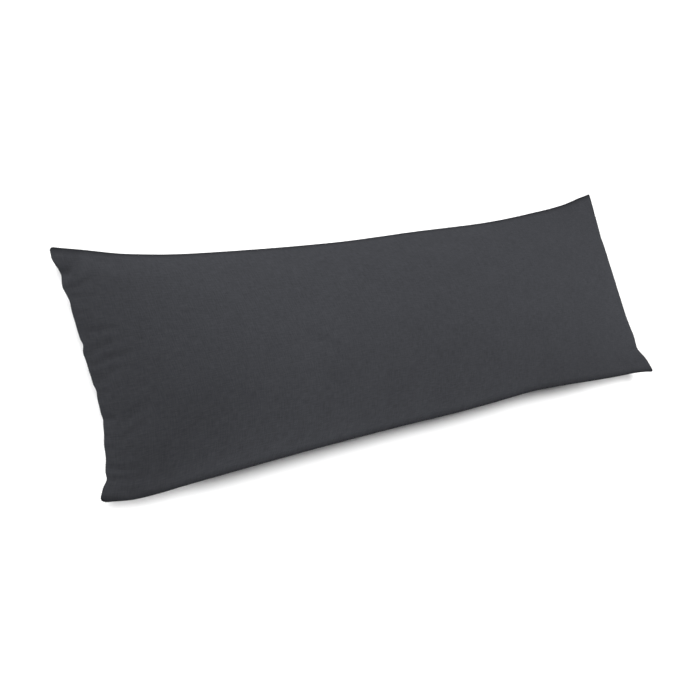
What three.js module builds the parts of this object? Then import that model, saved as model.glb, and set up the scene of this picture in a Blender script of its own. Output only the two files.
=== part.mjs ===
// A long lumbar pillow: two woven panels sewn together round a soft filling, lying on its back.
// Sizes are in millimetres. +X runs along the pillow, +Y towards its upper long edge, +Z out of its face.
// The origin is under the middle of the pillow, on the surface that it lies on.

import * as THREE from "three";
import { mergeVertices } from "three/addons/utils/BufferGeometryUtils.js";

// Driving dimensions
const LENGTH = 978; // between the corner tips, along a long edge
const WIDTH = 350; // between the corner tips, along an end
const SEAM_HEIGHT = 61; // the seam above the surface, half way along a side
const CORNER_DROP = 4; // the corner tips hang this far below the rest of the seam
const DROP_POWER = 4; // how closely that drop keeps to the tips: 1 is a straight slope
const TIP_BLUNTING = 1.5; // how far a turned corner falls short of a sharp tip, each way

// The filling
const FACE_CROWN = 73; // the face above the seam, at the middle of the pillow
const BACK_CROWN = 92; // the back below the seam, before its own weight flattens it
const FULLER_LEFT = 0.17; // how far the filling has slumped to the left, as a share of the crown
const FULLER_LOWER = 0.11; // how far it has slumped to the lower edge
const FULLER_CORNER = 0.17; // how far it has slumped to the lower left corner
const FLAT_BEND = 9; // half the depth over which the back bends into its flat
const LEFT_RUN = 290; // length over which the crown rises from the left end
const LEFT_FULLNESS = 2.65; // how steeply it rises there: 1 is a plain wedge
const RIGHT_RUN = 430; // length over which the crown rises from the right end
const RIGHT_FULLNESS = 1.9; // how steeply it rises there
const MIDDLE_ROUNDNESS = 2.12; // power of the section half way along: 2 is a parabola
const END_ROUNDNESS = 2.75; // power of the section beside an end, which is squarer
const CREST_SHIFT = 0.115; // how far the crest of a section lies towards the lower edge
const TROUGH_LIMIT = 0.92; // the most of a panel's rise above the seam that a pucker takes away
const NICK_REACH = 45; // how far in from the seam the cloth follows a nick in it
const NICK_TIP_GAP = 10; // nicks die out this close to a tip
const LEDGE_SHARE = 0.75; // how much of its slope the cloth loses where it lies on an end's seam allowance
const LEDGE_AT = 7; // how far in from the seam that is
const LEDGE_WIDTH = 4.5; // half the width of that strip

// Grid of each panel, with its lines closer together beside the seam
const CELLS_ALONG = 44;
const CELLS_ACROSS = 63;
const BUNCHING_ALONG = 0.72;
const BUNCHING_ACROSS = 0.05;

const FABRIC_COLOUR = 0x444549;
const FABRIC_ROUGHNESS = 0.95;

// How far the filling draws the seam in from the line between the tips, at shares of the way along a side.
// The long edges run from the left tip to the right one, and the ends from the lower tip to the upper one.
const DRAWN_IN = {
  upper: [
    { at: 0, inset: 0 },
    { at: 0.04, inset: 5 },
    { at: 0.1, inset: 19 },
    { at: 0.19, inset: 29 },
    { at: 0.42, inset: 38 },
    { at: 0.74, inset: 33 },
    { at: 0.86, inset: 23 },
    { at: 0.95, inset: 8 },
    { at: 1, inset: 0 },
  ],
  lower: [
    { at: 0, inset: 0 },
    { at: 0.04, inset: -6 },
    { at: 0.12, inset: -5 },
    { at: 0.3, inset: 1 },
    { at: 0.55, inset: 5 },
    { at: 0.72, inset: 10 },
    { at: 0.86, inset: 5 },
    { at: 1, inset: 0 },
  ],
  left: [
    { at: 0, inset: 0 },
    { at: 0.06, inset: 6 },
    { at: 0.12, inset: 13 },
    { at: 0.3, inset: 20 },
    { at: 0.5, inset: 16 },
    { at: 0.75, inset: 10 },
    { at: 0.92, inset: 3 },
    { at: 1, inset: 0 },
  ],
  right: [
    { at: 0, inset: 0 },
    { at: 0.06, inset: 7 },
    { at: 0.12, inset: 17 },
    { at: 0.3, inset: 20 },
    { at: 0.5, inset: 17 },
    { at: 0.8, inset: 11 },
    { at: 0.92, inset: 5 },
    { at: 1, inset: 0 },
  ],
};

// How far the turned corners are drawn out past the lines of the sides, and how far they droop.
// reach: how far from the tip the cloth follows it.
const TIPS = [
  { end: "left", edge: "lower", reach: 35, outAlong: 2.8, outAcross: 0.7, droop: 7 },
  { end: "left", edge: "upper", reach: 45, outAlong: 1, outAcross: 8.5, droop: 10 },
  { end: "right", edge: "lower", reach: 40, outAlong: 4.5, outAcross: 9, droop: 0 },
  { end: "right", edge: "upper", reach: 35, outAlong: 0, outAcross: 3, droop: 0 },
];

// Nicks where the stitching pulls the seam in and bends it up, at shares of the way along a side.
// width is half the nick's width. A row with a minus lets the seam out, or bends it down.
const NICKS = [
  { side: "left", at: 0.072, width: 6, pull: 3.4, lift: 0.8 },
  { side: "left", at: 0.115, width: 6, pull: -1, lift: -0.8 },
  { side: "left", at: 0.205, width: 9, pull: -1.5, lift: 0.5 },
  { side: "left", at: 0.298, width: 6, pull: 0.8, lift: -0.6 },
  { side: "left", at: 0.41, width: 7, pull: 1.3, lift: 0 },
  { side: "left", at: 0.46, width: 6, pull: 0.5, lift: 0.6 },
  { side: "left", at: 0.516, width: 6, pull: 0.4, lift: -0.6 },
  { side: "left", at: 0.637, width: 6, pull: 0.6, lift: 0.6 },
  { side: "left", at: 0.775, width: 8, pull: 1.4, lift: 0.4 },
  { side: "left", at: 0.845, width: 7, pull: -0.8, lift: -0.8 },
  { side: "left", at: 0.898, width: 9.5, pull: 3.8, lift: -7 },
  { side: "right", at: 0.11, width: 8, pull: 2.4, lift: 0.8 },
  { side: "right", at: 0.19, width: 9, pull: -1.6, lift: -0.6 },
  { side: "right", at: 0.45, width: 8, pull: 0.5, lift: 0.5 },
  { side: "right", at: 0.75, width: 8, pull: 0.5, lift: -0.5 },
  { side: "right", at: 0.9, width: 7, pull: 1, lift: 0.8 },
];

// Puckers where the seam gathers the cloth. Each is a trough, from start to reach in from the seam.
// at: share of the way along the side, at the start. width: half the trough's width.
// depth: how deep it is, or with a minus how high a ridge stands.
// slide: how far it slides along the side on its way in.
const PUCKERS = [
  { side: "left", at: 0.057, width: 5.5, start: 4, reach: 76, depth: 2.6, slide: -25 },
  { side: "left", at: 0.072, width: 5, start: -14, reach: 70, depth: 2.4, slide: 1 },
  { side: "left", at: 0.118, width: 5, start: -14, reach: 56, depth: 2.2, slide: -7 },
  { side: "left", at: 0.11, width: 6, start: -14, reach: 40, depth: 1.4, slide: 28 },
  { side: "left", at: 0.162, width: 6.5, start: -8, reach: 66, depth: 2.2, slide: 46 },
  { side: "left", at: 0.245, width: 8, start: 8, reach: 70, depth: 3.2, slide: 38 },
  { side: "left", at: 0.286, width: 6, start: -14, reach: 40, depth: 1.6, slide: 15 },
  { side: "left", at: 0.354, width: 6, start: -14, reach: 42, depth: 0.8, slide: 27 },
  { side: "left", at: 0.431, width: 6, start: -14, reach: 46, depth: 1.8, slide: 19 },
  { side: "left", at: 0.48, width: 5.5, start: 10, reach: 56, depth: 1.2, slide: 2 },
  { side: "left", at: 0.515, width: 5.5, start: -2, reach: 72, depth: 2.8, slide: 9 },
  { side: "left", at: 0.551, width: 5.5, start: -6, reach: 62, depth: 2, slide: 19 },
  { side: "left", at: 0.634, width: 5.5, start: -14, reach: 64, depth: 2.4, slide: 5 },
  { side: "left", at: 0.79, width: 5.5, start: -14, reach: 44, depth: 1.6, slide: 0 },
  { side: "left", at: 0.799, width: 6, start: -14, reach: 62, depth: 3, slide: 31 },
  { side: "left", at: 0.828, width: 9, start: 0, reach: 46, depth: -8, slide: 46 },
  { side: "left", at: 0.866, width: 8, start: -2, reach: 36, depth: 11, slide: 38 },
  { side: "right", at: 0.07, width: 7, start: -8, reach: 44, depth: 1.6, slide: -6 },
  { side: "right", at: 0.13, width: 7, start: -8, reach: 40, depth: 1.6, slide: -3 },
  { side: "right", at: 0.3, width: 8, start: -8, reach: 34, depth: 1, slide: 3 },
  { side: "right", at: 0.45, width: 8, start: -8, reach: 34, depth: 0.8, slide: 3 },
  { side: "right", at: 0.6, width: 8, start: -8, reach: 40, depth: 1, slide: 2 },
  { side: "right", at: 0.75, width: 8, start: -8, reach: 34, depth: 0.8, slide: 4 },
  { side: "right", at: 0.9, width: 7, start: -8, reach: 40, depth: 1.6, slide: 8 },
  { side: "upper", at: 0.06, width: 14, start: 0, reach: 40, depth: 1.6, slide: 12 },
  { side: "upper", at: 0.93, width: 14, start: 0, reach: 40, depth: 1.4, slide: -10 },
  { side: "lower", at: 0.06, width: 14, start: 0, reach: 40, depth: 1.6, slide: 10 },
  { side: "lower", at: 0.94, width: 12, start: 0, reach: 36, depth: 1.4, slide: -10 },
];

// The slope of a side's inset at one of its rows, from the rows on either side of it
function slopeAt(rows, i) {
  const before = rows[Math.max(i - 1, 0)];
  const after = rows[Math.min(i + 1, rows.length - 1)];
  return (after.inset - before.inset) / (after.at - before.at);
}

// A side's inset at a share of the way along it, on a smooth curve through the rows of its table
function drawnIn(side, share) {
  const rows = DRAWN_IN[side];
  const i = Math.max(1, rows.findIndex((row) => row.at >= share)) - 1;
  const gap = rows[i + 1].at - rows[i].at;
  const t = (share - rows[i].at) / gap;
  const eased = t * t * (3 - 2 * t);
  const leaving = slopeAt(rows, i) * gap * t * (1 - t) ** 2;
  const arriving = slopeAt(rows, i + 1) * gap * t * t * (1 - t);
  return THREE.MathUtils.lerp(rows[i].inset, rows[i + 1].inset, eased) + leaving - arriving;
}

// How strongly a pucker acts at a distance along its side from the line that it follows
function bell(distance, halfWidth) {
  return Math.exp(-((distance / halfWidth) ** 2));
}

// A pucker is deepest half way along and dies out at its start and at its reach
function alongTrough(share) {
  return share > 0 && share < 1 ? Math.sin(Math.PI * share) ** 2 : 0;
}

// The direction in from each side
const INWARD = {
  left: new THREE.Vector3(1, 0, 0),
  right: new THREE.Vector3(-1, 0, 0),
  lower: new THREE.Vector3(0, 1, 0),
  upper: new THREE.Vector3(0, -1, 0),
};
const SIDES = Object.keys(INWARD);

const isEnd = (side) => side === "left" || side === "right";
const sideLength = (side) => (isEnd(side) ? WIDTH : LENGTH);
const nearTip = (share) => Math.abs(2 * share - 1) ** DROP_POWER;

// How far a point of a panel lies in from each side
function distancesIn(along, across) {
  return {
    left: along * LENGTH,
    right: (1 - along) * LENGTH,
    lower: across * WIDTH,
    upper: (1 - across) * WIDTH,
  };
}

// The sum of one column of a side's nicks, at a share of the way along its seam
function nickAt(side, share, column) {
  const toTip = Math.min(share, 1 - share) * sideLength(side);
  const sum = NICKS.filter((row) => row.side === side).reduce(
    (total, row) => total + row[column] * bell((share - row.at) * sideLength(side), row.width),
    0,
  );
  return sum * (1 - bell(toTip, NICK_TIP_GAP));
}

// The height of a panel above the seam once the puckers have cut into it, given its height without them
function puckered(rise, along, across) {
  const inward = distancesIn(along, across);
  const depth = PUCKERS.reduce((sum, row) => {
    const share = (inward[row.side] - row.start) / (row.reach - row.start);
    const beside = ((isEnd(row.side) ? across : along) - row.at) * sideLength(row.side);
    return sum + row.depth * alongTrough(share) * bell(beside - row.slide * share, row.width);
  }, 0);
  const limit = TROUGH_LIMIT * rise;
  return limit > 0 ? rise - Math.sign(depth) * limit * (1 - Math.exp(-Math.abs(depth) / limit)) : 0;
}

// A point of the seam as the filling draws it in, at a share of the way along a side
function seamPoint(side, share) {
  const toTip = Math.min(share, 1 - share) * sideLength(side);
  const inset = drawnIn(side, share) + TIP_BLUNTING * bell(toTip, 2 * TIP_BLUNTING);
  const x = (share - 0.5) * (LENGTH - 2 * TIP_BLUNTING);
  const y = (share - 0.5) * (WIDTH - 2 * TIP_BLUNTING);
  const point = isEnd(side) ? new THREE.Vector3(0, y, 0) : new THREE.Vector3(x, 0, 0);
  point.z = SEAM_HEIGHT - CORNER_DROP * nearTip(share);
  const fromMiddle = (isEnd(side) ? LENGTH : WIDTH) / 2 - inset;
  return point.addScaledVector(INWARD[side], -fromMiddle);
}

// A point of a panel moved by the nicks in the seam, in and up, and by the drawn-out tips, less further in
function nicked(point, along, across) {
  const inward = distancesIn(along, across);
  for (const side of SIDES) {
    const share = isEnd(side) ? across : along;
    const follows = Math.max(0, 1 - inward[side] / NICK_REACH) ** 2;
    point.addScaledVector(INWARD[side], follows * nickAt(side, share, "pull"));
    point.z += follows * nickAt(side, share, "lift");
  }
  for (const tip of TIPS) {
    const away = Math.hypot(inward[tip.end], inward[tip.edge]);
    const follows = Math.max(0, 1 - away / tip.reach) ** 2;
    point.addScaledVector(INWARD[tip.end], -follows * tip.outAlong);
    point.addScaledVector(INWARD[tip.edge], -follows * tip.outAcross);
    point.z -= follows * tip.droop;
  }
  return point;
}

// The sheet stretched between the four sides of the seam, on which both panels are raised
function seamSheet(along, across) {
  const point = new THREE.Vector3();
  point.addScaledVector(seamPoint("lower", along), 1 - across);
  point.addScaledVector(seamPoint("upper", along), across);
  point.addScaledVector(seamPoint("left", across), 1 - along);
  point.addScaledVector(seamPoint("right", across), along);
  for (const a of [0, 1]) {
    for (const b of [0, 1]) {
      const share = (a ? along : 1 - along) * (b ? across : 1 - across);
      point.addScaledVector(seamPoint(b ? "upper" : "lower", a), -share);
    }
  }
  return nicked(point, along, across);
}

// How much filling there is at a point of a panel, next to an even fill
function slump(along, across) {
  const toLeft = Math.cos(Math.PI * along);
  const toLower = Math.cos(Math.PI * across);
  return 1 + FULLER_LEFT * toLeft + FULLER_LOWER * toLower + FULLER_CORNER * toLeft * toLower;
}

// How far in from an end a point counts as lying, since the cloth rises less where the seam allowance is
function pastSeam(inward, across) {
  const share = LEDGE_SHARE * 4 * across * (1 - across);
  const passed = Math.tanh((inward - LEDGE_AT) / LEDGE_WIDTH) + Math.tanh(LEDGE_AT / LEDGE_WIDTH);
  return inward - share * LEDGE_WIDTH * passed;
}

// The share of the full crown at a point of a panel: nothing at the seam and 1 in the middle
function crownShare(along, across) {
  const left = Math.max(0, 1 - pastSeam(along * LENGTH, across) / LEFT_RUN);
  const right = Math.max(0, 1 - pastSeam((1 - along) * LENGTH, across) / RIGHT_RUN);
  const lengthwise = (1 - left ** LEFT_FULLNESS) * (1 - right ** RIGHT_FULLNESS);
  const roundness = THREE.MathUtils.lerp(MIDDLE_ROUNDNESS, END_ROUNDNESS, Math.max(left, right) ** 2);
  const shifted = across + CREST_SHIFT * across * (1 - across);
  const section = 1 - Math.abs(2 * shifted - 1) ** roundness;
  return slump(along, across) * lengthwise * section;
}

// The height of the back once the surface under it has flattened its lowest part
function onSurface(height) {
  if (height >= FLAT_BEND) return height;
  return height <= -FLAT_BEND ? 0 : (height + FLAT_BEND) ** 2 / (4 * FLAT_BEND);
}

function facePoint(along, across) {
  const point = seamSheet(along, across);
  point.z += puckered(FACE_CROWN * crownShare(along, across), along, across);
  return point;
}

function backPoint(along, across) {
  const point = seamSheet(along, across);
  point.z = onSurface(point.z - puckered(BACK_CROWN * crownShare(along, across), along, across));
  return point;
}

// Shares of the way across a panel for its grid lines, closer together beside the seam
function gridLines(cells, bunching) {
  return Array.from({ length: cells + 1 }, (_, i) => {
    const share = i / cells;
    return share - (bunching * Math.sin(2 * Math.PI * share)) / (2 * Math.PI);
  });
}

// One panel's triangles. Each cell is cut towards the nearest tip of the pillow,
// so that no triangle has all three of its points on the seam.
function panelTriangles(pointAt, outward) {
  const columns = gridLines(CELLS_ALONG, BUNCHING_ALONG);
  const rows = gridLines(CELLS_ACROSS, BUNCHING_ACROSS);
  const grid = columns.map((along) => rows.map((across) => pointAt(along, across)));
  const triangles = [];
  for (let i = 0; i < CELLS_ALONG; i++) {
    for (let j = 0; j < CELLS_ACROSS; j++) {
      const cell = [grid[i][j], grid[i + 1][j], grid[i + 1][j + 1], grid[i][j + 1]];
      const rising = i < CELLS_ALONG / 2 === j < CELLS_ACROSS / 2;
      const [a, b, c, d] = rising ? cell : [...cell.slice(1), cell[0]];
      triangles.push(...(outward ? [a, b, c, a, c, d] : [a, c, b, a, d, c]));
    }
  }
  return triangles;
}

// Both panels as one closed shape, with the middle of its box over the origin
function pillowGeometry() {
  const corners = [...panelTriangles(facePoint, true), ...panelTriangles(backPoint, false)];
  const geometry = mergeVertices(new THREE.BufferGeometry().setFromPoints(corners));
  geometry.computeBoundingBox();
  const middle = geometry.boundingBox.getCenter(new THREE.Vector3());
  geometry.translate(-middle.x, -middle.y, -geometry.boundingBox.min.z);
  geometry.computeVertexNormals();
  return geometry;
}

const fabric = new THREE.MeshStandardMaterial({
  color: FABRIC_COLOUR,
  roughness: FABRIC_ROUGHNESS,
  metalness: 0,
});

const pillow = new THREE.Mesh(pillowGeometry(), fabric);
pillow.name = "pillow";

const lumbarPillow = new THREE.Group();
lumbarPillow.add(pillow);

export default lumbarPillow;
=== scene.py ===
"""Makes a filled lumbar pillow in place of its solid: two sewn panels, their seam, cloth and stage."""

from typing import NamedTuple

import bpy
import numpy as np
from bpy.props import FloatProperty, FloatVectorProperty, IntProperty, PointerProperty
from mathutils import Matrix, Vector


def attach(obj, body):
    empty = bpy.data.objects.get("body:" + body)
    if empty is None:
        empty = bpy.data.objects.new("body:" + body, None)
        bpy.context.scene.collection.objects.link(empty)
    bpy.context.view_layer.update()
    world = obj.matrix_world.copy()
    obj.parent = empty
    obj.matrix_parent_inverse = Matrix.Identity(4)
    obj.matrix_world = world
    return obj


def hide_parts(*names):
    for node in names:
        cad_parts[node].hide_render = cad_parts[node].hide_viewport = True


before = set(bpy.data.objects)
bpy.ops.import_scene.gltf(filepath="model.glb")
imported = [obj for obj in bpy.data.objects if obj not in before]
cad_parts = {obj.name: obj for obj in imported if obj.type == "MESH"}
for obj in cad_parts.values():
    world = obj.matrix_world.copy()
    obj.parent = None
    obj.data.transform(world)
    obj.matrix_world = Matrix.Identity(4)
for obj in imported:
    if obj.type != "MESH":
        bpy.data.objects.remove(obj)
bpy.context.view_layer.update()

bl_info = {
    "name": "Lumbar pillow",
    "version": (1, 0, 0),
    "blender": (4, 5, 0),
    "location": "3D View > Sidebar > Pillow",
    "description": "Sews, fills and lights a long lumbar pillow with a knife-edge seam",
    "category": "Object",
}

NODE = "pillow"
BODY = "root"
COVER = "pillow_cover"
STITCHES = "pillow_stitches"
PANEL_MAP = "Panel"  # where a point lies on its flat panel, in metres
BAKE_MAP = "OFBake"  # both panels laid out on one square
TAU = 2 * np.pi
TINY = 1e-9  # the least length that another is divided by

# The way into the pillow from each of its sides. Two sides are its ends, and two are its long edges.
INWARD = {"left": (1, 0), "right": (-1, 0), "lower": (0, 1), "upper": (0, -1)}
ENDS = ("left", "right")


# Tables of the seam


class Inset(NamedTuple):
    """How far the filling draws a side of the seam in, at a share of the way along it."""

    at: float
    inset: float


class Tip(NamedTuple):
    """How far a turned corner is drawn out past the lines of the sides, droops and is rounded off."""

    end: str
    edge: str
    reach: float  # how far from the tip the cloth follows it
    out_along: float
    out_across: float
    droop: float
    radius: float


class Nick(NamedTuple):
    """A place where the stitching pulls the seam in, or lets it out, and bends it up or down."""

    side: str
    at: float  # share of the way along the side
    width: float  # half the width of the nick
    pull: float
    lift: float


class Pucker(NamedTuple):
    """A trough where the stitching gathers the cloth."""

    side: str
    at: float  # share of the way along the side, at its start
    width: float  # half the width of the trough
    start: float  # how far in from the seam it starts
    reach: float  # how far in from the seam it ends
    depth: float  # how deep it is, or with a minus how high a ridge stands
    slide: float  # how far it slides along the side on its way in


# The long edges run from the left tip to the right one, and the ends from the lower tip to the upper one.
DRAWN_IN = {
    "upper": (
        Inset(0, 0),
        Inset(0.04, 0.005),
        Inset(0.10, 0.0185),
        Inset(0.19, 0.029),
        Inset(0.42, 0.0374),
        Inset(0.58, 0.0346),
        Inset(0.74, 0.0322),
        Inset(0.86, 0.022),
        Inset(0.92, 0.0143),
        Inset(0.95, 0.0077),
        Inset(0.97, 0.0028),
        Inset(1, 0),
    ),
    "lower": (
        Inset(0, 0),
        Inset(0.04, -0.008),
        Inset(0.12, -0.0052),
        Inset(0.30, 0.001),
        Inset(0.46, 0.004),
        Inset(0.55, 0.004),
        Inset(0.64, 0.0064),
        Inset(0.72, 0.0094),
        Inset(0.80, 0.0064),
        Inset(0.86, 0.0028),
        Inset(0.93, -0.0002),
        Inset(1, 0),
    ),
    "left": (
        Inset(0, 0),
        Inset(0.06, 0.006),
        Inset(0.12, 0.013),
        Inset(0.30, 0.020),
        Inset(0.50, 0.016),
        Inset(0.75, 0.010),
        Inset(0.92, 0.003),
        Inset(1, 0),
    ),
    "right": (
        Inset(0, 0),
        Inset(0.06, 0.0056),
        Inset(0.12, 0.0167),
        Inset(0.19, 0.0175),
        Inset(0.30, 0.0189),
        Inset(0.50, 0.0161),
        Inset(0.80, 0.0108),
        Inset(0.92, 0.005),
        Inset(1, 0),
    ),
}

TIPS = (
    Tip("left", "lower", 0.035, 0.0028, 0.0012, 0.007, 0.007),
    Tip("left", "upper", 0.06, 0.001, 0.0095, 0.01, 0.006),
    Tip("right", "lower", 0.06, 0.0042, 0.0065, 0, 0.004),
    Tip("right", "upper", 0.035, -0.0005, 0.0036, 0, 0.001),
)

NICKS = (
    Nick("left", 0.072, 0.006, 0.0034, 0.0008),
    Nick("left", 0.115, 0.006, -0.001, -0.0008),
    Nick("left", 0.205, 0.009, -0.0015, 0.0005),
    Nick("left", 0.298, 0.006, 0.0015, -0.0006),
    Nick("left", 0.41, 0.007, 0.002, 0),
    Nick("left", 0.46, 0.006, 0.0005, 0.0006),
    Nick("left", 0.516, 0.006, 0.0004, -0.0006),
    Nick("left", 0.562, 0.006, -0.001, -0.0004),
    Nick("left", 0.598, 0.0055, 0.0021, 0.0006),
    Nick("left", 0.775, 0.008, 0.0014, 0.0004),
    Nick("left", 0.84, 0.008, -0.0014, -0.0008),
    Nick("left", 0.898, 0.0095, 0.0038, -0.007),
    Nick("left", 0.957, 0.008, -0.002, 0),
    Nick("right", 0.11, 0.008, 0.0024, 0.0008),
    Nick("right", 0.19, 0.009, -0.0016, -0.0006),
    Nick("right", 0.45, 0.008, 0.0005, 0.0005),
    Nick("right", 0.75, 0.008, 0.0005, -0.0005),
    Nick("right", 0.9, 0.007, 0.001, 0.0008),
)

PUCKERS = (
    Pucker("left", 0.057, 0.0055, 0.004, 0.076, 0.0026, -0.025),
    Pucker("left", 0.072, 0.005, -0.014, 0.07, 0.0024, 0.001),
    Pucker("left", 0.118, 0.005, -0.014, 0.056, 0.0022, -0.007),
    Pucker("left", 0.11, 0.006, -0.014, 0.04, 0.0014, 0.028),
    Pucker("left", 0.162, 0.0065, -0.008, 0.066, 0.0022, 0.046),
    Pucker("left", 0.245, 0.008, 0.008, 0.07, 0.0032, 0.038),
    Pucker("left", 0.286, 0.006, -0.014, 0.04, 0.0016, 0.015),
    Pucker("left", 0.354, 0.006, -0.014, 0.042, 0.0008, 0.027),
    Pucker("left", 0.431, 0.006, -0.014, 0.046, 0.0018, 0.019),
    Pucker("left", 0.48, 0.0055, 0.01, 0.056, 0.0012, 0.002),
    Pucker("left", 0.515, 0.0055, -0.002, 0.072, 0.0028, 0.009),
    Pucker("left", 0.551, 0.0055, -0.006, 0.062, 0.002, 0.019),
    Pucker("left", 0.634, 0.0055, -0.014, 0.064, 0.0024, 0.005),
    Pucker("left", 0.79, 0.0055, -0.014, 0.044, 0.0016, 0),
    Pucker("left", 0.799, 0.006, -0.014, 0.062, 0.003, 0.031),
    Pucker("left", 0.828, 0.009, 0, 0.046, -0.008, 0.046),
    Pucker("left", 0.866, 0.008, -0.002, 0.036, 0.011, 0.038),
    Pucker("right", 0.07, 0.007, -0.008, 0.044, 0.0016, -0.006),
    Pucker("right", 0.13, 0.007, -0.008, 0.04, 0.0016, -0.003),
    Pucker("right", 0.3, 0.008, -0.008, 0.034, 0.001, 0.003),
    Pucker("right", 0.45, 0.008, -0.008, 0.034, 0.0008, 0.003),
    Pucker("right", 0.6, 0.008, -0.008, 0.04, 0.001, 0.002),
    Pucker("right", 0.75, 0.008, -0.008, 0.034, 0.0008, 0.004),
    Pucker("right", 0.9, 0.007, -0.008, 0.04, 0.0016, 0.008),
    Pucker("upper", 0.06, 0.014, 0, 0.04, 0.0016, 0.012),
    Pucker("upper", 0.93, 0.014, 0, 0.04, 0.0014, -0.01),
    Pucker("lower", 0.06, 0.014, 0, 0.04, 0.0016, 0.01),
    Pucker("lower", 0.94, 0.012, 0, 0.036, 0.0014, -0.01),
)


# What a user would change


class PillowSizes(bpy.types.PropertyGroup):
    """The sewn cover and its filling."""

    length: FloatProperty(
        name="Length",
        description="Between the corner tips, along a long edge",
        default=0.978,
        unit="LENGTH",
    )
    width: FloatProperty(
        name="Width",
        description="Between the corner tips, along an end",
        default=0.350,
        unit="LENGTH",
    )
    flat_length: FloatProperty(
        name="Flat length",
        description="Length of each panel as cut, inside its seam",
        default=0.970,
        unit="LENGTH",
    )
    flat_width: FloatProperty(
        name="Flat width",
        description="Width of each panel as cut, inside its seam",
        default=0.360,
        unit="LENGTH",
    )
    seam_height: FloatProperty(
        name="Seam height",
        description="The seam above the surface that the pillow lies on",
        default=0.061,
        unit="LENGTH",
    )
    corner_drop: FloatProperty(
        name="Corner drop",
        description="How far the tips hang below the rest of the seam",
        default=0.004,
        unit="LENGTH",
    )
    tip_blunting: FloatProperty(
        name="Tip blunting",
        description="How far a turned corner falls short of sharp",
        default=0.0015,
        unit="LENGTH",
    )
    face_crown: FloatProperty(
        name="Face crown",
        description="The face above the seam in the middle",
        default=0.073,
        unit="LENGTH",
    )
    back_crown: FloatProperty(
        name="Back crown",
        description="The back below the seam before it is flattened",
        default=0.092,
        unit="LENGTH",
    )
    left_run: FloatProperty(
        name="Left run",
        description="Length over which the crown rises from the left end",
        default=0.290,
        unit="LENGTH",
    )
    right_run: FloatProperty(
        name="Right run",
        description="Length over which the crown rises from the right end",
        default=0.430,
        unit="LENGTH",
    )
    fill: FloatProperty(
        name="Fill",
        description="How full the cover is, from slack to tight",
        default=0.7,
        min=0,
        max=1,
        subtype="FACTOR",
    )
    settle_frames: IntProperty(
        name="Settling",
        description="Frames over which the cover settles on its filling",
        default=20,
        min=2,
    )
    stitch_pitch: FloatProperty(
        name="Stitch pitch",
        description="From one stitch of the seam to the next",
        default=0.0032,
        unit="LENGTH",
    )
    thread: FloatProperty(
        name="Thread",
        description="Thickness of the sewing thread",
        default=0.0005,
        unit="LENGTH",
    )


class PillowCloth(bpy.types.PropertyGroup):
    """The cloth of the cover."""

    colour: FloatVectorProperty(
        name="Colour",
        description="Mean colour of the yarns",
        default=(0.0583, 0.0600, 0.0671),
        min=0,
        max=1,
        subtype="COLOR",
    )
    unevenness: FloatProperty(
        name="Unevenness",
        description="How far thick and thin yarns vary from the mean colour",
        default=0.17,
        min=0,
        max=1,
        subtype="FACTOR",
    )
    yarn_pitch: FloatProperty(
        name="Yarn pitch",
        description="From one yarn of the weave to the next",
        default=0.0013,
        unit="LENGTH",
    )
    slub_length: FloatProperty(
        name="Slub length",
        description="Length of the thick places in the yarns",
        default=0.013,
        unit="LENGTH",
    )


class PillowStage(bpy.types.PropertyGroup):
    """The floor and the lights."""

    floor_colour: FloatVectorProperty(
        name="Floor",
        description="Colour of the floor",
        default=(0.92, 0.92, 0.92),
        min=0,
        max=1,
        subtype="COLOR",
    )
    key: FloatProperty(
        name="Key",
        description="Strength of the light from the right end",
        default=3.08,
        min=0,
    )
    fill: FloatProperty(
        name="Fill",
        description="Strength of the light from the upper left",
        default=2.24,
        min=0,
    )
    floor: FloatProperty(
        name="Floor light",
        description="Strength of the light on the floor",
        default=3.6,
        min=0,
    )
    left_floor: FloatProperty(
        name="Left floor light",
        description="Strength of the low light that falls under the left end",
        default=1.5,
        min=0,
    )
    right_floor: FloatProperty(
        name="Right floor light",
        description="Strength of the low light that falls under the right end",
        default=1.2,
        min=0,
    )
    left_tip: FloatProperty(
        name="Left tip light",
        description="Strength of the small light that falls under the lower left tip",
        default=4.0,
        min=0,
    )
    right_tip: FloatProperty(
        name="Right tip light",
        description="Strength of the small light that falls under the lower right tip",
        default=3.5,
        min=0,
    )
    room: FloatProperty(
        name="Room",
        description="Strength of the light all round",
        default=0.08,
        min=0,
    )


# The shape before the filling settles

FULLER_LEFT = 0.17  # how far the filling has slumped to the left, as a share of the crown
FULLER_LOWER = 0.11  # how far it has slumped to the lower edge
FULLER_CORNER = 0.17  # how far it has slumped to the lower left corner
DROP_POWER = 4  # how closely the corner drop keeps to the tips
LEFT_FULLNESS = 2.65  # how steeply the crown rises from the left end: 1 is a plain wedge
RIGHT_FULLNESS = 1.9  # how steeply it rises from the right end
MIDDLE_ROUNDNESS = 2.12  # power of the section half way along: 2 is a parabola
END_ROUNDNESS = 2.75  # power of the section beside an end, which is squarer
CREST_SHIFT = 0.115  # how far the crest of a section lies towards the lower edge
TROUGH_LIMIT = 0.92  # the most of a panel's rise that a pucker takes away
FLAT_BEND = 0.009  # half the depth over which the back bends into its flat
NICK_REACH = 0.045  # how far in from the seam the cloth follows a nick in it
NICK_TIP_GAP = 0.010  # nicks die out this close to a tip
LEDGE_SHARE = 0.75  # how much of its slope the cloth loses where it lies on an end's seam allowance
LEDGE_AT = 0.007  # how far in from the seam that is
LEDGE_WIDTH = 0.0045  # half the width of that strip
BOX_MIDDLE = (0.00085, -0.00025)  # the middle of the solid's box, from the middle of the untouched seam


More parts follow.
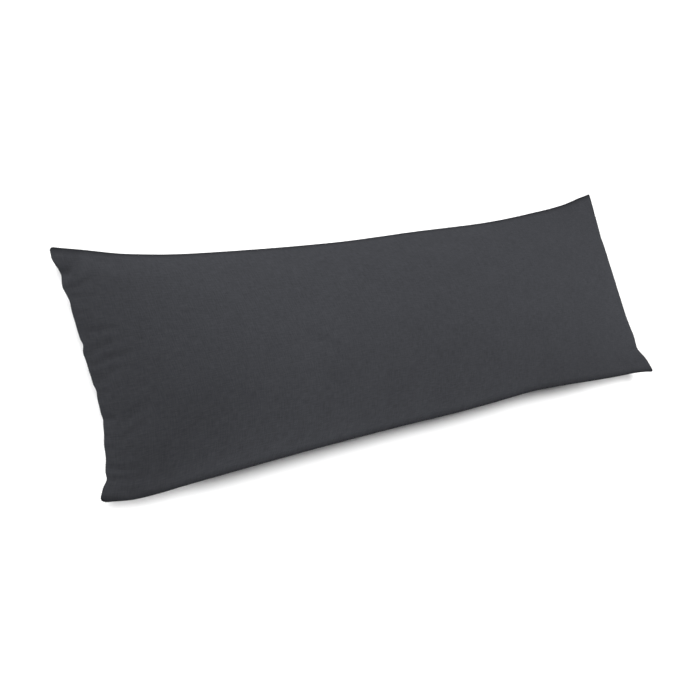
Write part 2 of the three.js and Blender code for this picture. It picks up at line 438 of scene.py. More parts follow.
def through(at, values, share):
    """Values at shares of the way along, on a smooth curve through the ones given."""
    last = len(at) - 1
    before, after = np.maximum(np.arange(last + 1) - 1, 0), np.minimum(np.arange(last + 1) + 1, last)
    spread = (-1,) + (1,) * (values.ndim - 1)
    slope = (values[after] - values[before]) / (at[after] - at[before]).reshape(spread)
    i = np.clip(np.searchsorted(at, share) - 1, 0, last - 1)
    gap = (at[i + 1] - at[i]).reshape(spread)
    t = (share - at[i]).reshape(spread) / gap
    eased = t * t * (3 - 2 * t)
    leaving = slope[i] * gap * t * (1 - t) ** 2
    arriving = slope[i + 1] * gap * t * t * (1 - t)
    return values[i] + (values[i + 1] - values[i]) * eased + leaving - arriving


def drawn_in(side, share):
    """A side's inset at shares of the way along it."""
    return through(*np.array(DRAWN_IN[side]).T, share)


def bell(distance, half_width):
    """A smooth bump of height 1, which dies out past its half width."""
    return np.exp(-((distance / half_width) ** 2))


def along_trough(share):
    """A pucker is deepest half way along and dies out at its start and at its reach."""
    return np.sin(np.pi * np.clip(share, 0, 1)) ** 2


def side_length(side, sizes):
    """The length of a side between its tips."""
    return sizes.width if side in ENDS else sizes.length


def near_tip(share):
    """How near a tip shares of the way along a side lie: 1 at either tip and nothing half way."""
    return np.abs(2 * share - 1) ** DROP_POWER


def distances_in(along, across, sizes):
    """How far the points of a panel's grid lie in from each side."""
    a, b = along[:, None], across[None]
    return {
        "left": a * sizes.length,
        "right": (1 - a) * sizes.length,
        "lower": b * sizes.width,
        "upper": (1 - b) * sizes.width,
    }


def nick_at(side, share, column, sizes):
    """The sum of one column of a side's nicks, at shares of the way along its seam."""
    length = side_length(side, sizes)
    rows = [row for row in NICKS if row.side == side]
    total = sum(getattr(row, column) * bell((share - row.at) * length, row.width) for row in rows)
    return total * (1 - bell(np.minimum(share, 1 - share) * length, NICK_TIP_GAP))


def seam_line(side, share, sizes):
    """Points of one side of the seam as the filling draws it in, at shares of the way along it."""
    to_tip = np.minimum(share, 1 - share) * side_length(side, sizes)
    inset = drawn_in(side, share) + sizes.tip_blunting * bell(to_tip, 2 * sizes.tip_blunting)
    x = (share - 0.5) * (sizes.length - 2 * sizes.tip_blunting)
    y = (share - 0.5) * (sizes.width - 2 * sizes.tip_blunting)
    across, along = sizes.width / 2 - inset, sizes.length / 2 - inset
    plan = {"upper": (x, across), "lower": (x, -across), "left": (-along, y), "right": (along, y)}[side]
    return np.stack([*plan, sizes.seam_height - sizes.corner_drop * near_tip(share)], axis=-1)


def rounded_off(from_end, from_edge, radius):
    """How far in from an end and from an edge points move where a turned corner is rounded off."""
    short = np.stack(np.broadcast_arrays(radius - from_end, radius - from_edge), axis=-1)
    short = np.maximum(short, 0)
    furthest = short.max(-1, keepdims=True)
    straight = np.maximum(np.linalg.norm(short, axis=-1, keepdims=True), TINY)
    return short * (1 - furthest / straight)


def nicked(sheet, along, across, sizes):
    """The sheet moved by the nicks in the seam and by its drawn-out, rounded tips, less further in."""
    inward = distances_in(along, across, sizes)
    for side, distance in inward.items():
        share = across[None] if side in ENDS else along[:, None]
        follows = np.maximum(0, 1 - distance / NICK_REACH) ** 2
        pull = follows * nick_at(side, share, "pull", sizes)
        sheet[..., :2] += pull[..., None] * np.array(INWARD[side])
        sheet[..., 2] += follows * nick_at(side, share, "lift", sizes)
    for tip in TIPS:
        away = np.hypot(inward[tip.end], inward[tip.edge])
        follows = np.maximum(0, 1 - away / tip.reach)[..., None] ** 2
        outward = -tip.out_along * np.array(INWARD[tip.end]) - tip.out_across * np.array(INWARD[tip.edge])
        sheet += follows * np.array([*outward, -tip.droop])
        moved = rounded_off(inward[tip.end], inward[tip.edge], tip.radius)
        sheet[..., :2] += moved @ np.array([INWARD[tip.end], INWARD[tip.edge]])
    return sheet


def seam_sheet(along, across, sizes):
    """The sheet stretched between the four sides of the seam, on which both panels are raised."""
    a, b = along[:, None, None], across[None, :, None]
    lower, upper = (seam_line(side, along, sizes)[:, None] for side in ("lower", "upper"))
    left, right = (seam_line(side, across, sizes)[None] for side in ("left", "right"))
    tips = (1 - a) * ((1 - b) * lower[:1] + b * upper[:1]) + a * ((1 - b) * lower[-1:] + b * upper[-1:])
    sheet = (1 - b) * lower + b * upper + (1 - a) * left + a * right - tips
    return nicked(sheet, along, across, sizes)


def slump(along, across):
    """How much filling there is over a panel, next to an even fill."""
    to_left, to_lower = np.cos(np.pi * along)[:, None], np.cos(np.pi * across)[None]
    return 1 + FULLER_LEFT * to_left + FULLER_LOWER * to_lower + FULLER_CORNER * to_left * to_lower


def past_seam(inward, across):
    """How far in from an end points count as lying, since the cloth rises less over the seam allowance."""
    share = LEDGE_SHARE * 4 * across * (1 - across)
    passed = np.tanh((inward - LEDGE_AT) / LEDGE_WIDTH) + np.tanh(LEDGE_AT / LEDGE_WIDTH)
    return inward[:, None] - LEDGE_WIDTH * passed[:, None] * share[None]


def crown_share(along, across, sizes):
    """The share of the full crown over a panel: nothing at the seam and 1 in the middle."""
    left = np.maximum(0, 1 - past_seam(along * sizes.length, across) / sizes.left_run)
    right = np.maximum(0, 1 - past_seam((1 - along) * sizes.length, across) / sizes.right_run)
    lengthwise = (1 - left**LEFT_FULLNESS) * (1 - right**RIGHT_FULLNESS)
    roundness = MIDDLE_ROUNDNESS + (END_ROUNDNESS - MIDDLE_ROUNDNESS) * np.maximum(left, right) ** 2
    shifted = across + CREST_SHIFT * across * (1 - across)
    section = 1 - np.abs(2 * shifted[None] - 1) ** roundness
    return slump(along, across) * lengthwise * section


def on_surface(height):
    """The height of the back once the surface under it has flattened its lowest part."""
    bent = (np.clip(height, -FLAT_BEND, FLAT_BEND) + FLAT_BEND) ** 2 / (4 * FLAT_BEND)
    return np.where(height >= FLAT_BEND, height, bent)


def filled(along, across, sizes):
    """Grids of points of the face and of the back, crowned by the filling."""
    face = seam_sheet(along, across, sizes)
    back = face.copy()
    share = crown_share(along, across, sizes)
    face[..., 2] += sizes.face_crown * share
    back[..., 2] = on_surface(back[..., 2] - sizes.back_crown * share)
    return face, back


# The panels' grids

SETTLE_CELLS = (128, 48)  # along and across a panel while it settles
CELLS = (80, 140)  # along and across a finished panel, inside its rolled rim
BUNCHING = (0.75, 0)  # how much closer together the lines are beside the ends and the long edges
LIP = 0.0013  # from the seam to the edge that the cloth rolls over
RIM = 0.0034  # from the seam to where the rolled edge is over
RIM_CELLS = 4  # how many cells the two rims add to a row


def grid_lines(count, bunching):
    """Shares of the way over a panel for its grid lines, closer together beside the seam."""
    share = np.linspace(0, 1, count + 1)
    return share - bunching * np.sin(TAU * share) / TAU


def rimmed_lines(count, bunching, length):
    """The grid lines of a finished panel, with two more at each end for the seam and the lip beside it."""
    rim, lip = RIM / length, LIP / length
    inner = rim + (1 - 2 * rim) * grid_lines(count, bunching)
    return np.r_[0, lip, inner, 1 - lip, 1]


def sewn(face, back):
    """One closed mesh of both panels, which share the seam's points: its points and each panel's cells."""
    shape = face.shape[:2]
    inner = np.zeros(shape, bool)
    inner[1:-1, 1:-1] = True
    face_index = np.arange(inner.size).reshape(shape)
    back_index = face_index.copy()
    back_index[inner] = inner.size + np.arange(inner.sum())
    points = np.concatenate([face.reshape(-1, 3), back[inner]])
    return points, cells(face_index), cells(back_index)[:, ::-1]


def cells(index):
    """The corners of a grid's cells, anticlockwise."""
    corners = [index[:-1, :-1], index[1:, :-1], index[1:, 1:], index[:-1, 1:]]
    return np.stack(corners, axis=-1).reshape(-1, 4)


def parted(points, shape):
    """The grids of the face and of the back in the points of a sewn mesh."""
    count = shape[0] * shape[1]
    face = points[:count].reshape(*shape, 3)
    back = face.copy()
    back[1:-1, 1:-1] = points[count:].reshape(shape[0] - 2, shape[1] - 2, 3)
    return face, back


def regridded(grid, lines, new_lines):
    """The values of a grid on other lines along and across a panel."""
    along = through(lines[0], grid, new_lines[0])
    return through(lines[1], along.swapaxes(0, 1), new_lines[1]).swapaxes(0, 1)


# The cover settling on its filling

PRESSURE = 4.0  # of the filling on the cover
CLOTH_MASS = 0.3
CLOTH_STIFFNESS = 25.0
SHEAR_STIFFNESS = 6.25
BENDING_STIFFNESS = 0.1
CLOTH_DAMPING = 10
AIR_DAMPING = 2
STEPS = 5  # steps of the settling in a frame
MOVE_CAP = 0.012  # the most that the settling moves a point
FLAT_HEIGHT = 1e-5  # points of the back below this height rest on the surface
HELD = "held"


def settle(along, across, sizes):
    """How far each point of the face and of the back moves as the cloth settles on its filling."""
    face, back = filled(along, across, sizes)
    points, face_cells, back_cells = sewn(face, back)
    mesh = bpy.data.meshes.new("settling")
    mesh.from_pydata(points.tolist(), [], [*face_cells.tolist(), *back_cells.tolist()])
    cover = bpy.data.objects.new("settling", mesh)
    bpy.context.collection.objects.link(cover)

    held = np.zeros(face.shape[:2], bool)
    held[[0, -1]] = held[:, [0, -1]] = True
    flat = np.flatnonzero(points[:, 2] < FLAT_HEIGHT)
    cover.vertex_groups.new(name=HELD).add([*np.flatnonzero(held).tolist(), *flat.tolist()], 1, "REPLACE")

    modifier = cover.modifiers.new("Filling", "CLOTH")
    cloth = modifier.settings
    cloth.quality = STEPS
    cloth.mass = CLOTH_MASS
    cloth.air_damping = AIR_DAMPING
    cloth.tension_stiffness = cloth.compression_stiffness = CLOTH_STIFFNESS
    cloth.shear_stiffness = SHEAR_STIFFNESS
    cloth.bending_stiffness = BENDING_STIFFNESS
    cloth.tension_damping = cloth.compression_damping = cloth.shear_damping = CLOTH_DAMPING
    cloth.use_pressure = True
    cloth.uniform_pressure_force = PRESSURE
    cloth.vertex_group_mass = HELD
    cloth.effector_weights.gravity = 0
    modifier.collision_settings.use_collision = False
    modifier.point_cache.frame_end = sizes.settle_frames
    for number in range(1, sizes.settle_frames + 1):
        bpy.context.scene.frame_set(number)
    settled = cover.evaluated_get(bpy.context.evaluated_depsgraph_get())
    after = np.empty(points.size)
    settled.data.vertices.foreach_get("co", after)
    bpy.data.objects.remove(cover)
    bpy.data.meshes.remove(mesh)
    bpy.context.scene.frame_set(1)

    move = after.reshape(-1, 3) - points
    distance = np.linalg.norm(move, axis=1, keepdims=True)
    move *= np.minimum(1, MOVE_CAP / np.maximum(distance, TINY))
    return parted(move, face.shape[:2])


# The sewing, which gathers the ends and rolls the cloth over at the seam

GROOVE = 0.0018  # how far the seam sinks between the lips of the two panels
LIP_REACH = 0.0009  # how far a lip stands out over the seam
ROLL_TIP_GAP = 0.008  # the roll dies out this close to a tip
RIPPLE_DEPTH = 0.0007  # the small gathers between the puckers of an end
RIPPLE_REACH = 0.024  # how far in from the seam they run
RIPPLE_PITCHES = (0.0125, 0.0190)  # from one gather to the next, in the two waves that make them


def trough_depth(along, across, sizes):
    """How deep the puckers and the small gathers cut into a panel."""
    inward = distances_in(along, across, sizes)
    depth = np.zeros((len(along), len(across)))
    for row in PUCKERS:
        share = (inward[row.side] - row.start) / (row.reach - row.start)
        place = across[None] if row.side in ENDS else along[:, None]
        beside = (place - row.at) * side_length(row.side, sizes)
        depth += row.depth * along_trough(share) * bell(beside - row.slide * share, row.width)
    gathers = sum(np.sin(TAU * across * sizes.width / pitch) for pitch in RIPPLE_PITCHES) / 2
    for side in ENDS:
        depth += RIPPLE_DEPTH * gathers[None] * along_trough(inward[side] / RIPPLE_REACH)
    return depth


def puckered(grid, sheet_height, depth):
    """The grid of a panel once the puckers have cut into its rise over the seam."""
    rise = grid[..., 2] - sheet_height
    limit = np.maximum(TROUGH_LIMIT * np.abs(rise), TINY)
    cut = limit * (1 - np.exp(-np.abs(depth) / limit))
    grid[..., 2] -= np.sign(rise) * np.sign(depth) * cut


def rolled(grid):
    """The grid of a panel with its lip rolled out over the seam, which sinks in."""
    lines = {"left": grid[:2], "right": grid[:-3:-1], "lower": grid.swapaxes(0, 1)[:2]}
    lines["upper"] = grid.swapaxes(0, 1)[:-3:-1]
    for side, (seam, lip) in lines.items():
        to_tip = np.minimum(*(np.linalg.norm(seam - seam[tip], axis=1) for tip in (0, -1)))
        inward = (1 - bell(to_tip, ROLL_TIP_GAP))[:, None] * np.array(INWARD[side])
        seam[:, :2] += GROOVE * inward
        lip[:, :2] -= LIP_REACH * inward


class PILLOW_OT_cover(bpy.types.Operator):
    """Sew and fill the pillow's cover"""

    bl_idname = "pillow.cover"
    bl_label = "Sew and fill the cover"

    def execute(self, context):
        sizes = context.scene.pillow_sizes
        lengths = (sizes.length, sizes.width)
        lines = [rimmed_lines(*row) for row in zip(CELLS, BUNCHING, lengths)]
        panels = filled(*lines, sizes)
        coarse = [grid_lines(*row) for row in zip(SETTLE_CELLS, BUNCHING)]
        for panel, move in zip(panels, settle(*coarse, sizes)):
            panel += regridded(move, coarse, lines)
        sheet_height = seam_sheet(*lines, sizes)[..., 2]
        depth = trough_depth(*lines, sizes)
        for panel in panels:
            puckered(panel, sheet_height, depth)
            rolled(panel)
        points, face_cells, back_cells = sewn(*panels)
        points[:, 2] = np.maximum(points[:, 2], 0)
        points[:, :2] -= BOX_MIDDLE

        mesh = bpy.data.meshes.new(COVER)
        mesh.from_pydata(points.tolist(), [], [*face_cells.tolist(), *back_cells.tolist()])
        mesh.polygons.foreach_set("use_smooth", np.ones(len(mesh.polygons), bool))
        lay_flat(mesh, *lines, sizes)
        mesh.materials.append(cloth_material(context.scene.pillow_cloth, sizes.flat_width))
        cover = bpy.data.objects.new(COVER, mesh)
        context.collection.objects.link(cover)
        smooth = cover.modifiers.new("Smooth", "SUBSURF")
        smooth.levels = smooth.render_levels = 1
        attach(cover, BODY)
        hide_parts(NODE)
        return {"FINISHED"}


BAKE_MARGIN = 0.01  # clear strip round the square


def lay_flat(mesh, along, across, sizes):
    """Gives the mesh its two maps: each panel at its flat size, and both panels on one square."""
    shares = np.stack(np.meshgrid(along, across, indexing="ij"), axis=-1).reshape(-1, 2)
    corners = cells(np.arange(len(shares)).reshape(len(along), len(across)))
    face, back = shares[corners].reshape(-1, 2), shares[corners[:, ::-1]].reshape(-1, 2)
    flat = np.concatenate([face, back]) * (sizes.flat_length, sizes.flat_width)
    inside = (1 - 2 * BAKE_MARGIN) * np.array([1, 0.5])
    halves = [BAKE_MARGIN + inside * face + (0, 0.5), BAKE_MARGIN + inside * back]
    for name, places in ((BAKE_MAP, np.concatenate(halves)), (PANEL_MAP, flat)):
        mesh.uv_layers.new(name=name).uv.foreach_set("vector", places.ravel())


# Nodes


def add_node(tree, kind, inputs=None, **settings):
    """Adds a node. Each of its inputs is given a value or is joined to another node's output."""
    node = tree.nodes.new(kind)
    for name, value in settings.items():
        setattr(node, name, value)
    for name, value in (inputs or {}).items():
        if isinstance(value, bpy.types.NodeSocket):
            tree.links.new(value, node.inputs[name])
        else:
            node.inputs[name].default_value = value
    return node


# The thread in the seam

STITCH_SIDES = 6  # sides of the tube that a stitch is
STITCH_LENGTH = 0.0022  # across the groove, from lip to lip
STITCH_LEAN = 0.35  # the most that a stitch leans along the seam, in radians
LEAST_LEAN = 0.6  # the least, as a share of the most
STITCH_SEED = 3


def stitch_tree():
    """Nodes that lay a row of short, leaning stitches along a line."""
    tree = bpy.data.node_groups.new("seam_stitches", "GeometryNodeTree")
    tree.interface.new_socket("Seam", in_out="INPUT", socket_type="NodeSocketGeometry")
    for name in ("Pitch", "Length", "Radius", "Lean"):
        tree.interface.new_socket(name, in_out="INPUT", socket_type="NodeSocketFloat")
    tree.interface.new_socket("Thread", in_out="INPUT", socket_type="NodeSocketMaterial")
    tree.interface.new_socket("Stitches", in_out="OUTPUT", socket_type="NodeSocketGeometry")
    given = add_node(tree, "NodeGroupInput").outputs
    line = add_node(tree, "GeometryNodeMeshToCurve", {"Mesh": given["Seam"]})
    spaced = add_node(
        tree,
        "GeometryNodeResampleCurve",
        {"Curve": line.outputs["Curve"], "Length": given["Pitch"]},
        mode="LENGTH",
    )
    stitch = add_node(
        tree,
        "GeometryNodeMeshCylinder",
        {"Vertices": STITCH_SIDES, "Radius": given["Radius"], "Depth": given["Length"]},
    )
    tangent = add_node(tree, "GeometryNodeInputTangent").outputs["Tangent"]
    along_seam = add_node(tree, "FunctionNodeAlignRotationToVector", {"Vector": tangent}, axis="Y")
    least = add_node(tree, "ShaderNodeMath", {0: given["Lean"], 1: LEAST_LEAN}, operation="MULTIPLY")
    lean = add_node(tree, "FunctionNodeRandomValue", {"Seed": STITCH_SEED}, data_type="FLOAT")
    low, high, drawn = float_sockets(lean)
    tree.links.new(least.outputs["Value"], low)
    tree.links.new(given["Lean"], high)
    tilt = add_node(tree, "ShaderNodeCombineXYZ", {"X": drawn})
    leaning = add_node(
        tree,
        "FunctionNodeRotateRotation",
        {"Rotation": along_seam.outputs["Rotation"], "Rotate By": tilt.outputs["Vector"]},
        rotation_space="LOCAL",
    )
    row = add_node(
        tree,
        "GeometryNodeInstanceOnPoints",
        {
            "Points": spaced.outputs["Curve"],
            "Instance": stitch.outputs["Mesh"],
            "Rotation": leaning.outputs["Rotation"],
        },
    )
    real = add_node(tree, "GeometryNodeRealizeInstances", {"Geometry": row.outputs["Instances"]})
    painted = add_node(
        tree,
        "GeometryNodeSetMaterial",
        {"Geometry": real.outputs["Geometry"], "Material": given["Thread"]},
    )
    add_node(tree, "NodeGroupOutput", {"Stitches": painted.outputs["Geometry"]})
    return tree


def float_sockets(node):
    """The lowest and highest value and the result of a random node that draws plain numbers."""
    sockets = (*node.inputs, *node.outputs)
    plain = [socket for socket in sockets if socket.enabled and socket.type == "VALUE"]
    return plain[0], plain[1], plain[-1]


def seam_loop(shape):
    """The seam's points in a sewn mesh, in order round the pillow."""
    index = np.arange(shape[0] * shape[1]).reshape(shape)
    return np.r_[index[:-1, 0], index[-1, :-1], index[:0:-1, -1], index[0, :0:-1]]


class PILLOW_OT_stitches(bpy.types.Operator):
    """Lay the stitches that show in the seam's groove"""

    bl_idname = "pillow.stitches"
    bl_label = "Stitch the seam"

    def execute(self, context):
        sizes = context.scene.pillow_sizes
        cover = context.scene.objects[COVER].evaluated_get(context.evaluated_depsgraph_get())
        loop = seam_loop([count + RIM_CELLS + 1 for count in CELLS])
        points = np.array([cover.data.vertices[i].co for i in loop])
        edges = np.stack([np.arange(len(loop)), np.roll(np.arange(len(loop)), -1)], axis=1)
        line = bpy.data.meshes.new("seam_line")
        line.from_pydata(points.tolist(), edges.tolist(), [])
        stitches = bpy.data.objects.new(STITCHES, line)
        context.collection.objects.link(stitches)
        modifier = stitches.modifiers.new("Stitches", "NODES")
        modifier.node_group = stitch_tree()
        given = {
            "Pitch": sizes.stitch_pitch,
            "Length": STITCH_LENGTH,
            "Radius": sizes.thread / 2,
            "Lean": STITCH_LEAN,
            "Thread": thread_material(context.scene.pillow_cloth),
        }
        for socket in modifier.node_group.interface.items_tree:
            if socket.name in given:
                modifier[socket.identifier] = given[socket.name]
        row = stitches.evaluated_get(context.evaluated_depsgraph_get())
        mesh = bpy.data.meshes.new_from_object(row)
        stitches.modifiers.remove(modifier)
        stitches.data = mesh
        mesh.name = STITCHES
        bpy.data.meshes.remove(line)
        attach(stitches, BODY)
        return {"FINISHED"}


# The cloth and the thread

YARN_ROUGHNESS = (0.84, 0.97)
YARN_BUMP = 0.0001  # how far the yarns stand out of the weave
SLUB_THICKNESS = 0.0016
SLUB_DETAIL = 2
SLUB_RANGE = 0.3  # how far the slubs go above and below their mean
BLOTCH = 0.045  # size of the faint blotches in the dye
BLOTCH_DETAIL = 3
BLOTCH_SHARE = 0.35  # how strongly they show next to the uneven yarns
NOISE_ROUGHNESS = 0.55  # how strongly the finer detail of slubs and blotches shows
WEAVE_SHARE = 0.15  # how far the weave stands out next to the uneven yarns
GLOSS = 0.01
EDGE_WIDTH = 0.014  # how far in from a long edge the painted shade reaches
EDGE_SHADE = 0.68  # how much darker the painted shade makes the cloth at the seam itself
EDGE_POWER = 2  # how closely the shade keeps to the seam


def new_material(name):
    """A material, its nodes and its main shader."""
    material = bpy.data.materials.new(name)
    material.use_nodes = True
    tree = material.node_tree
    return material, tree, tree.nodes["Principled BSDF"]


def worked_out(tree, operation, first, second):
    """The result of a node that reckons with two values."""
    return add_node(tree, "ShaderNodeMath", {0: first, 1: second}, operation=operation).outputs["Value"]


def streaks(tree, place, along, across, detail):
    """Noise in streaks of one length each way, about a mean of nothing."""
    mapping = add_node(tree, "ShaderNodeMapping", {"Vector": place, "Scale": (1 / along, 1 / across, 1)})
    noise = add_node(
        tree,
        "ShaderNodeTexNoise",
        {"Vector": mapping.outputs["Vector"], "Scale": 1, "Detail": detail, "Roughness": NOISE_ROUGHNESS},
        noise_dimensions="2D",
    )
    return worked_out(tree, "SUBTRACT", noise.outputs["Fac"], 0.5)


def plain_weave(tree, place, pitch):
    """Yarns that pass over and under each other, from -1 to 1."""
    parts = add_node(tree, "ShaderNodeSeparateXYZ", {"Vector": place}).outputs
    angles = [worked_out(tree, "MULTIPLY", parts[axis], np.pi / pitch) for axis in "XY"]
    waves = [worked_out(tree, "SINE", angle, 0) for angle in angles]
    return worked_out(tree, "MULTIPLY", *waves)


def painted_edge_shade(tree, place, width):
    """How light the cloth is: painted shade that darkens it beside the long edges, next to the seam."""
    across = add_node(tree, "ShaderNodeSeparateXYZ", {"Vector": place}).outputs["Y"]
    inward = worked_out(tree, "MINIMUM", across, worked_out(tree, "SUBTRACT", width, across))
    share = worked_out(tree, "SUBTRACT", 1, worked_out(tree, "DIVIDE", inward, EDGE_WIDTH))
    near = worked_out(tree, "POWER", worked_out(tree, "MAXIMUM", share, 0), EDGE_POWER)
    return worked_out(tree, "SUBTRACT", 1, worked_out(tree, "MULTIPLY", near, EDGE_SHADE))


def tinted(colour, share):
    """A share of a colour, with its alpha."""
    return (*(part * share for part in colour), 1)


def mixed(tree, factor, first, second):
    """A colour between two."""
    mix = add_node(tree, "ShaderNodeMix", {"Factor": factor}, data_type="RGBA")
    colours = [socket for socket in (*mix.inputs, *mix.outputs) if socket.type == "RGBA"]
    colours[0].default_value = first
    colours[1].default_value = second
    return colours[2]


def cloth_material(look, width):
    """Matt charcoal cloth of uneven yarns in a plain weave."""
    material, tree, shader = new_material("charcoal_cloth")
    place = add_node(tree, "ShaderNodeUVMap", uv_map=PANEL_MAP).outputs["UV"]
    weft = streaks(tree, place, look.slub_length, SLUB_THICKNESS, SLUB_DETAIL)
    warp = streaks(tree, place, SLUB_THICKNESS, look.slub_length, SLUB_DETAIL)
    blotch = streaks(tree, place, BLOTCH, BLOTCH, BLOTCH_DETAIL)
    slubs = worked_out(tree, "ADD", weft, warp)
    weave = plain_weave(tree, place, look.yarn_pitch)

    uneven = worked_out(tree, "ADD", slubs, worked_out(tree, "MULTIPLY", blotch, BLOTCH_SHARE))
    share = worked_out(tree, "ADD", uneven, 0.5)
    dark, light = (tinted(look.colour, 1 + shift) for shift in (-look.unevenness, look.unevenness))
    yarns = mixed(tree, share, dark, light)
    # painted shade: the yarns' colour is darkened beside the long edges
    shaded = {"Vector": yarns, "Scale": painted_edge_shade(tree, place, width)}
    edge_shaded = add_node(tree, "ShaderNodeVectorMath", shaded, operation="SCALE")
    tree.links.new(edge_shaded.outputs["Vector"], shader.inputs["Base Color"])

    roughness = add_node(
        tree,
        "ShaderNodeMapRange",
        {
            "Value": slubs,
            "From Min": -SLUB_RANGE,
            "From Max": SLUB_RANGE,
            "To Min": YARN_ROUGHNESS[1],
            "To Max": YARN_ROUGHNESS[0],
        },
    )
    tree.links.new(roughness.outputs["Result"], shader.inputs["Roughness"])
    height = worked_out(tree, "ADD", worked_out(tree, "MULTIPLY", weave, WEAVE_SHARE), slubs)
    bump = add_node(tree, "ShaderNodeBump", {"Height": height, "Strength": 1, "Distance": YARN_BUMP})
    tree.links.new(bump.outputs["Normal"], shader.inputs["Normal"])
    shader.inputs["Specular IOR Level"].default_value = GLOSS
    return material


THREAD_SHADE = 0.8  # colour of the thread next to the cloth's
PLY_SHADE = 0.2  # how far its plies are lighter and darker than that
PLY_PITCH = 0.0006
PLY_BUMP = PLY_PITCH / 4
THREAD_ROUGHNESS = 0.7
THREAD_GLOSS = 0.25


def thread_material(look):
    """Twisted sewing thread, a little darker than the cloth."""
    material, tree, shader = new_material("sewing_thread")
    place = add_node(tree, "ShaderNodeTexCoord").outputs["Object"]
    noise = add_node(tree, "ShaderNodeTexNoise", {"Vector": place, "Scale": 1 / PLY_PITCH, "Detail": 1})
    dark, light = (tinted(look.colour, THREAD_SHADE + shift) for shift in (-PLY_SHADE, PLY_SHADE))
    plies = mixed(tree, noise.outputs["Fac"], dark, light)
    tree.links.new(plies, shader.inputs["Base Color"])
    bump = add_node(tree, "ShaderNodeBump", {"Height": noise.outputs["Fac"], "Distance": PLY_BUMP})
    tree.links.new(bump.outputs["Normal"], shader.inputs["Normal"])
    shader.inputs["Roughness"].default_value = THREAD_ROUGHNESS
    shader.inputs["Specular IOR Level"].default_value = THREAD_GLOSS
    return material


# The stage

CAMERA_PLACE = Vector((-0.5903, -0.2512, 1.0874))
CAMERA_RIGHT = Vector((0.889, -0.262, 0.3756))
CAMERA_UP = Vector((0.1631, 0.9475, 0.275))
CAMERA_LENS = 38.98  # in millimetres
FLOOR_SIDE = 40
FLOOR_ROUGHNESS = 0.9


class Sun(NamedTuple):
    """A soft light from far off."""

    name: str  # the stage's setting for its strength
    azimuth: float  # from +X towards +Y, in degrees
    elevation: float  # in degrees
    spread: float  # angle across the light, in degrees
    lights: str  # what it falls on


SUNS = (
    Sun("key", 342, 30, 60, "pillow"),
    Sun("fill", 120, 31, 60, "pillow"),
    Sun("floor", 152, 79, 26, "floor"),
    Sun("left_floor", 160, 22, 16, "floor"),
    Sun("right_floor", 20, 25, 16, "floor"),
)


class Spot(NamedTuple):
    """A small soft light beside the pillow, which falls on the floor under a tip."""

    name: str  # the stage's setting for its strength
    place: tuple
    aim: tuple  # the point on the floor that it faces


SPOTS = (
    Spot("left_tip", (-0.72, -0.50, 0.17), (-0.475, -0.20, 0)),
    Spot("right_tip", (0.80, -0.32, 0.17), (0.455, -0.19, 0)),
)
SPOT_CONE = 22  # angle across a small light's cone, in degrees
SPOT_RADIUS = 0.03


def hang(lamp, place, toward, receivers):
    """Puts a lamp at its place, facing away from a direction, and names what it falls on."""
    light = bpy.data.objects.new(lamp.name, lamp)
    light.location = place
    light.rotation_euler = toward.to_track_quat("Z", "Y").to_euler()
    light.light_linking.receiver_collection = receivers
    bpy.context.collection.objects.link(light)


def hang_sun(sun, strength, receivers):
    """Hangs a light that comes from far off."""
    lamp = bpy.data.lights.new(f"{sun.name}_light", "SUN")
    lamp.energy = strength
    lamp.angle = np.radians(sun.spread)
    azimuth, elevation = np.radians(sun.azimuth), np.radians(sun.elevation)
    flat = np.cos(elevation)
    toward = Vector((flat * np.cos(azimuth), flat * np.sin(azimuth), np.sin(elevation)))
    hang(lamp, (0, 0, 0), toward, receivers)


def hang_spot(spot, strength, receivers):
    """Hangs a small light that fades out to the rim of its cone."""
    lamp = bpy.data.lights.new(f"{spot.name}_light", "SPOT")
    lamp.energy = strength
    lamp.spot_size = np.radians(SPOT_CONE)
    lamp.spot_blend = 1
    lamp.shadow_soft_size = SPOT_RADIUS
    hang(lamp, spot.place, Vector(spot.place) - Vector(spot.aim), receivers)


def gathered_for_light(name, pieces):
    """A collection that names what a light falls on. It isn't part of the scene's own tree."""
    receivers = bpy.data.collections.new(f"lit_{name}")
    for piece in pieces:
        receivers.objects.link(piece)
    return receivers


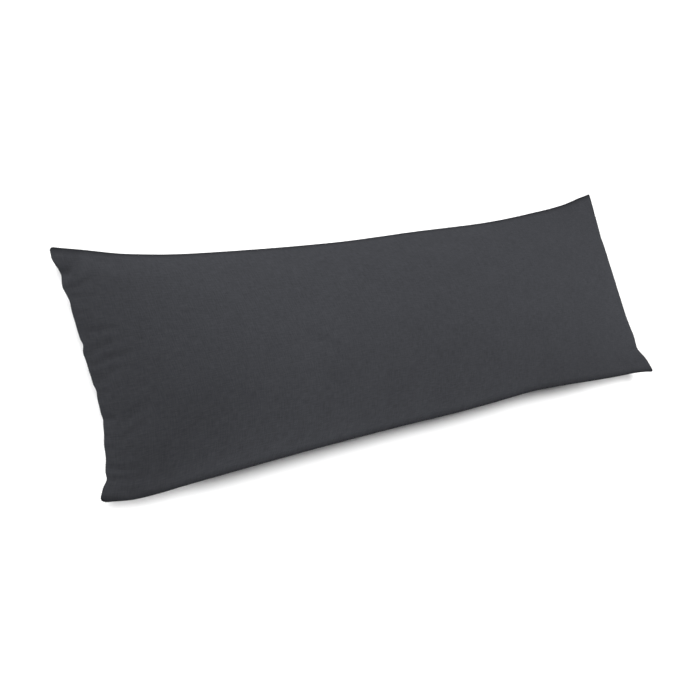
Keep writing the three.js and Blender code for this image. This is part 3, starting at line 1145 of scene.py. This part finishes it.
class PILLOW_OT_stage(bpy.types.Operator):
    """Set the floor, the lights and the camera round the finished pillow"""

    bl_idname = "pillow.stage"
    bl_label = "Set the stage"

    def execute(self, context):
        scene = context.scene
        look = scene.pillow_stage
        scene.view_settings.view_transform = "Standard"
        bpy.ops.mesh.primitive_plane_add(size=FLOOR_SIDE)
        floor = context.object
        floor.name = "floor"
        paint, _, shader = new_material("pale_floor")
        shader.inputs["Base Color"].default_value = (*look.floor_colour, 1)
        shader.inputs["Roughness"].default_value = FLOOR_ROUGHNESS
        floor.data.materials.append(paint)

        world = bpy.data.worlds.new("room")
        world.use_nodes = True
        room = world.node_tree.nodes["Background"]
        room.inputs["Color"].default_value = (1, 1, 1, 1)
        room.inputs["Strength"].default_value = look.room
        scene.world = world
        lit = {
            "floor": gathered_for_light("floor", [floor]),
            "pillow": gathered_for_light("pillow", [scene.objects[name] for name in (COVER, STITCHES)]),
        }
        for sun in SUNS:
            hang_sun(sun, getattr(look, sun.name), lit[sun.lights])
        for spot in SPOTS:
            hang_spot(spot, getattr(look, spot.name), lit["floor"])

        lens = bpy.data.cameras.new("camera")
        lens.lens = CAMERA_LENS
        camera = bpy.data.objects.new("camera", lens)
        context.collection.objects.link(camera)
        back = CAMERA_RIGHT.cross(CAMERA_UP)
        turn = Matrix((CAMERA_RIGHT, CAMERA_UP, back)).transposed().to_4x4()
        camera.matrix_world = Matrix.Translation(CAMERA_PLACE) @ turn
        scene.camera = camera
        return {"FINISHED"}


class PILLOW_PT_panel(bpy.types.Panel):
    """The pillow's operators and settings"""

    bl_idname = "PILLOW_PT_panel"
    bl_label = "Lumbar pillow"
    bl_space_type = "VIEW_3D"
    bl_region_type = "UI"
    bl_category = "Pillow"

    def draw(self, context):
        for operator in OPERATORS:
            self.layout.operator(operator.bl_idname)
        for name, group in SETTINGS.items():
            settings = getattr(context.scene, name)
            for prop in group.__annotations__:
                self.layout.prop(settings, prop)


SETTINGS = {"pillow_sizes": PillowSizes, "pillow_cloth": PillowCloth, "pillow_stage": PillowStage}
OPERATORS = (PILLOW_OT_cover, PILLOW_OT_stitches, PILLOW_OT_stage)
CLASSES = (*SETTINGS.values(), *OPERATORS, PILLOW_PT_panel)


def register():
    for cls in CLASSES:
        bpy.utils.register_class(cls)
    for name, group in SETTINGS.items():
        setattr(bpy.types.Scene, name, PointerProperty(type=group))


def unregister():
    for name in SETTINGS:
        delattr(bpy.types.Scene, name)
    for cls in reversed(CLASSES):
        bpy.utils.unregister_class(cls)


def main():
    register()
    bpy.ops.pillow.cover()
    bpy.ops.pillow.stitches()
    bpy.ops.pillow.stage()


if __name__ == "__main__":
    main()
